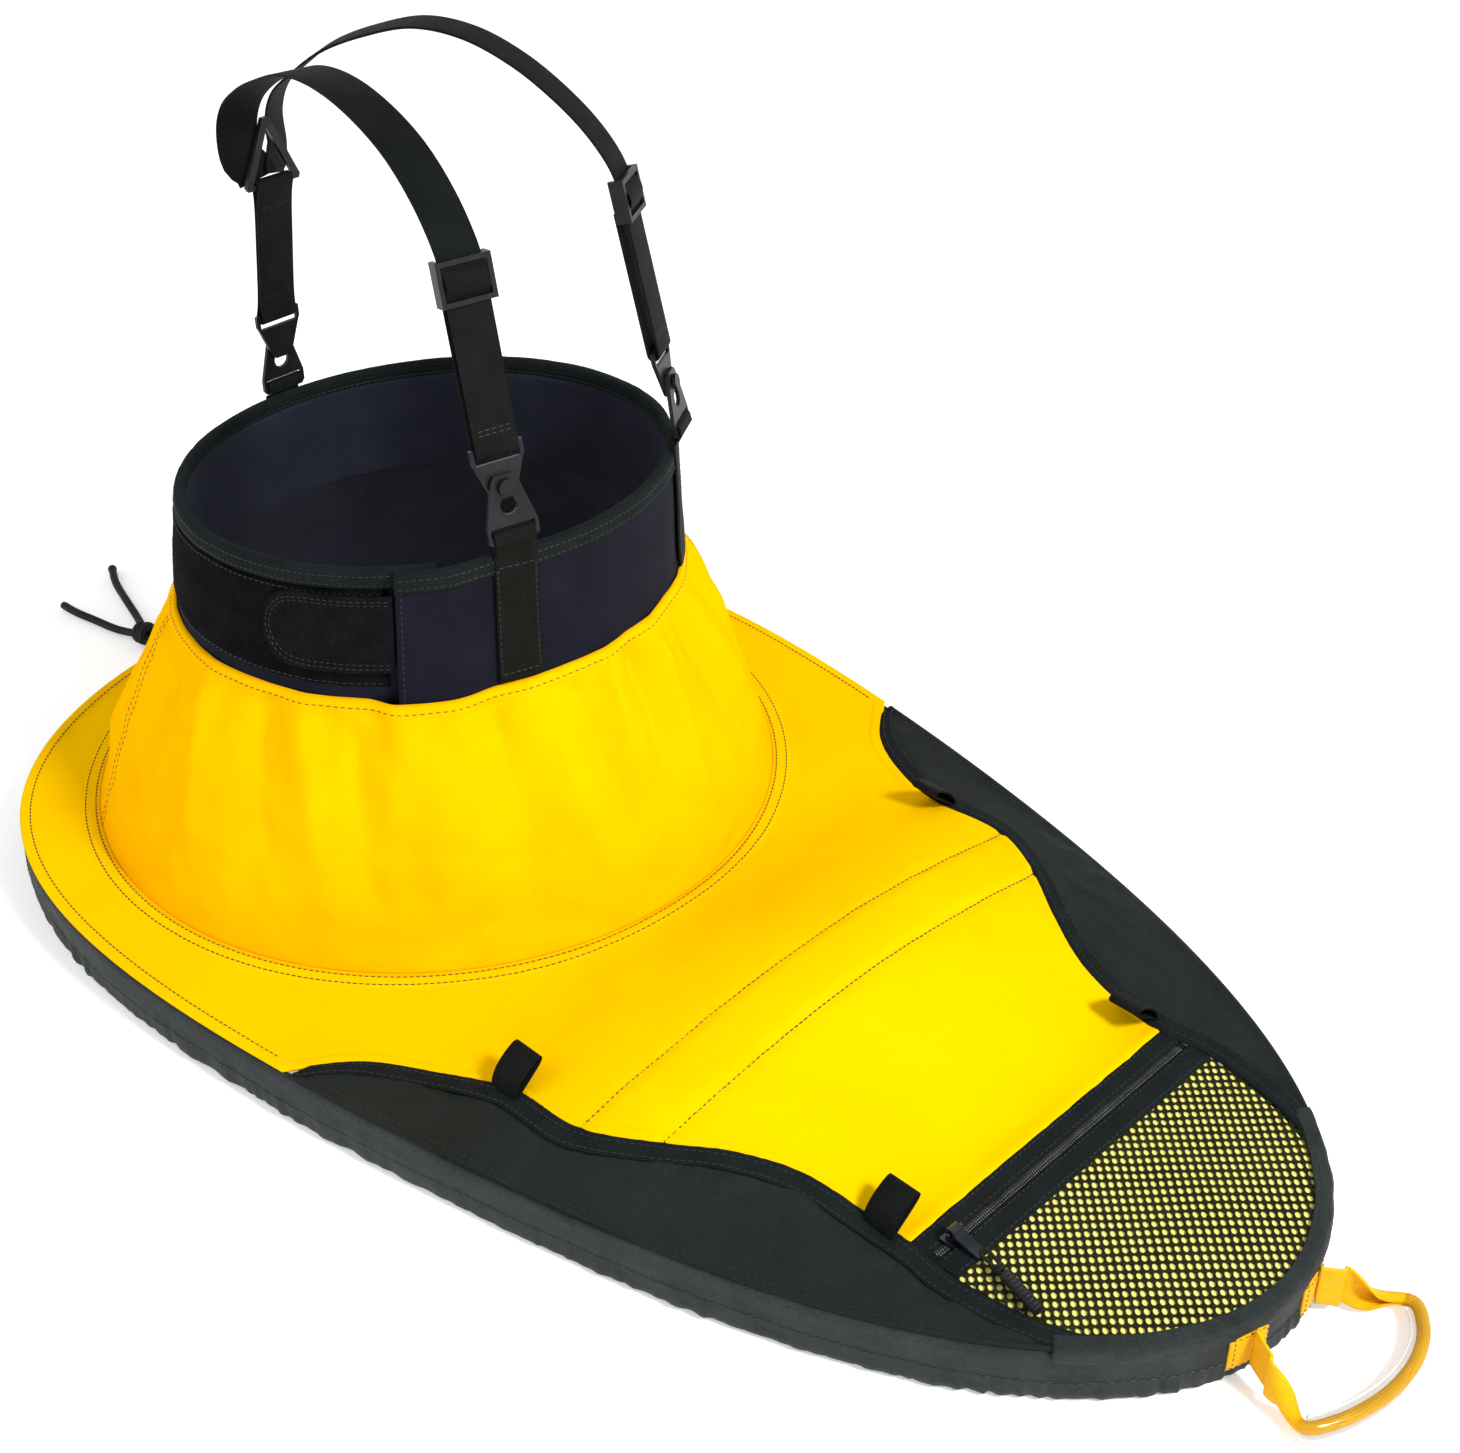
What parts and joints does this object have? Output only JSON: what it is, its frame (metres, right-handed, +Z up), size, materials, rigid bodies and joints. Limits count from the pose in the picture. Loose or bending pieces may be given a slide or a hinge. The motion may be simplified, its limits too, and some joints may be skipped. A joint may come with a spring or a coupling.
{
  "type": "kayak spray skirt",
  "caption": "Cloth cockpit cover for a kayak with a body tunnel, an elastic hem, a shoulder harness, a mesh zip pocket and a front grab loop.",
  "frame": {"origin": "on the ground under the middle of the skirt: midway between the rear of the hem and the front of the grab loop, on the centre line", "axes": "+X to the bow end with the grab loop, +Y to the wearer's left, +Z up"},
  "size_m": [1.1403, 0.5254, 0.5048],
  "materials": {
    "deck_cloth": "coated woven nylon, matt side out",
    "tunnel_cloth": "light woven nylon",
    "side_cloth": "coated woven nylon",
    "rand_cloth": "coated woven nylon with rubbery grip face",
    "pocket_mesh": "knitted mesh with round holes",
    "neoprene": "foamed rubber with a nylon jersey face",
    "loop_pile": "brushed loop pile",
    "hook_tab": "moulded hook tape on webbing",
    "black_webbing": "woven nylon webbing",
    "binding_tape": "ribbed binding tape, two rows of stitching",
    "yellow_webbing": "woven nylon webbing",
    "elastic_cord": "braided cover on a rubber core",
    "black_plastic": "moulded acetal, satin",
    "stay_plastic": "flat plastic batten",
    "zip_teeth": "nylon coil",
    "zip_metal": "dark plated zinc",
    "grip_rubber": "ribbed moulded rubber",
    "clear_tube": "clear vinyl tube"
  },
  "bodies": {
    "skirt": {"deck_panel": "deck_cloth", "nose_panel": "deck_cloth", "pocket_mesh": "pocket_mesh", "stay_sleeve": "deck_cloth", "deck_stay": "stay_plastic", "rand_left": "rand_cloth", "rand_right": "rand_cloth", "rand_nose": "rand_cloth", "hem_shock_cord": "elastic_cord", "cord_knot": "elastic_cord", "side_panel_left": "side_cloth", "side_panel_right": "side_cloth", "seam_binding_left": "binding_tape", "seam_binding_right": "binding_tape", "cord_lead_left": "elastic_cord", "cord_lead_right": "elastic_cord", "cord_tail_left": "elastic_cord", "cord_tail_right": "elastic_cord", "deck_loop_rear_left": "black_webbing", "deck_loop_rear_right": "black_webbing", "deck_loop_front_left": "black_webbing", "deck_loop_front_right": "black_webbing", "tunnel": "tunnel_cloth", "waistband": "neoprene", "waistband_binding": "binding_tape", "waistband_loop_field": "loop_pile", "zip_tape_rear": "binding_tape", "zip_tape_front": "binding_tape", "zip_coil": "zip_teeth", "grab_anchor_right": "yellow_webbing", "grab_anchor_left": "yellow_webbing", "anchor_tape_right": "black_webbing", "anchor_tape_left": "black_webbing", "anchor_tape_rear": "black_webbing", "anchor_loop_rear": "black_webbing", "keyhole_plate_rear": "black_plastic"},
    "harness": {"anchor_loop_right": "black_webbing", "anchor_loop_left": "black_webbing", "keyhole_plate_right": "black_plastic", "keyhole_plate_left": "black_plastic", "stud_plate_right": "black_plastic", "stud_plate_left": "black_plastic", "shoulder_strap_right": "black_webbing", "shoulder_strap_left": "black_webbing", "harness_ring": "black_plastic"},
    "back_strap": {"back_strap": "black_webbing"},
    "rear_hook": {"stud_plate_rear": "black_plastic"},
    "adjuster_right": {"adjuster_right": "black_plastic"},
    "adjuster_left": {"adjuster_left": "black_plastic"},
    "grab_loop": {"grab_webbing": "yellow_webbing", "grab_tube": "clear_tube"},
    "zip_slider": {"zip_slider": "zip_metal"},
    "zip_pull": {"zip_pull": "zip_metal"},
    "zip_grip": {"zip_grip_cord": "elastic_cord", "zip_grip": "grip_rubber"},
    "waist_tab": {"waist_tab": "hook_tab"}
  },
  "joints": [
    {"name": "harness_fold", "type": "hinge", "parent": "skirt", "child": "harness", "pos_m": [-0.06366, -0.0482, 0.284], "axis": [-0.1786, 0.9839, 0], "range_deg": [0, 150]},
    {"name": "back_strap_swing", "type": "hinge", "parent": "harness", "child": "back_strap", "pos_m": [-0.336, 0, 0.402], "axis": [0, -1, 0], "range_deg": [0, 50]},
    {"name": "rear_hook_tilt", "type": "hinge", "parent": "back_strap", "child": "rear_hook", "pos_m": [-0.351, 0, 0.3144], "axis": [0, -1, 0], "range_deg": [0, 40]},
    {"name": "adjuster_slide_right", "type": "slide", "parent": "harness", "child": "adjuster_right", "axis": [0.2104, -0.0272, -0.9772], "range_m": [0, 0.06]},
    {"name": "adjuster_slide_left", "type": "slide", "parent": "harness", "child": "adjuster_left", "axis": [0.1949, 0.076, -0.9779], "range_m": [0, 0.06]},
    {"name": "grab_loop_lift", "type": "hinge", "parent": "skirt", "child": "grab_loop", "pos_m": [0.423, 0, 0.0365], "axis": [0, -1, 0], "range_deg": [0, 150]},
    {"name": "zip_slide", "type": "slide", "parent": "skirt", "child": "zip_slider", "axis": [0, 1, 0], "range_m": [0, 0.168]},
    {"name": "zip_pull_flip", "type": "hinge", "parent": "zip_slider", "child": "zip_pull", "pos_m": [0.281, -0.09, 0.0449], "axis": [0, -1, 0], "range_deg": [0, 150]},
    {"name": "zip_grip_swing", "type": "hinge", "parent": "zip_pull", "child": "zip_grip", "pos_m": [0.298, -0.09, 0.0432], "axis": [0, 0, 1], "range_deg": [-35, 35]},
    {"name": "waist_tab_peel", "type": "hinge", "parent": "skirt", "child": "waist_tab", "pos_m": [-0.10499, -0.11346, 0.225], "axis": [0, 0, 1], "range_deg": [0, 75]}
  ]
}
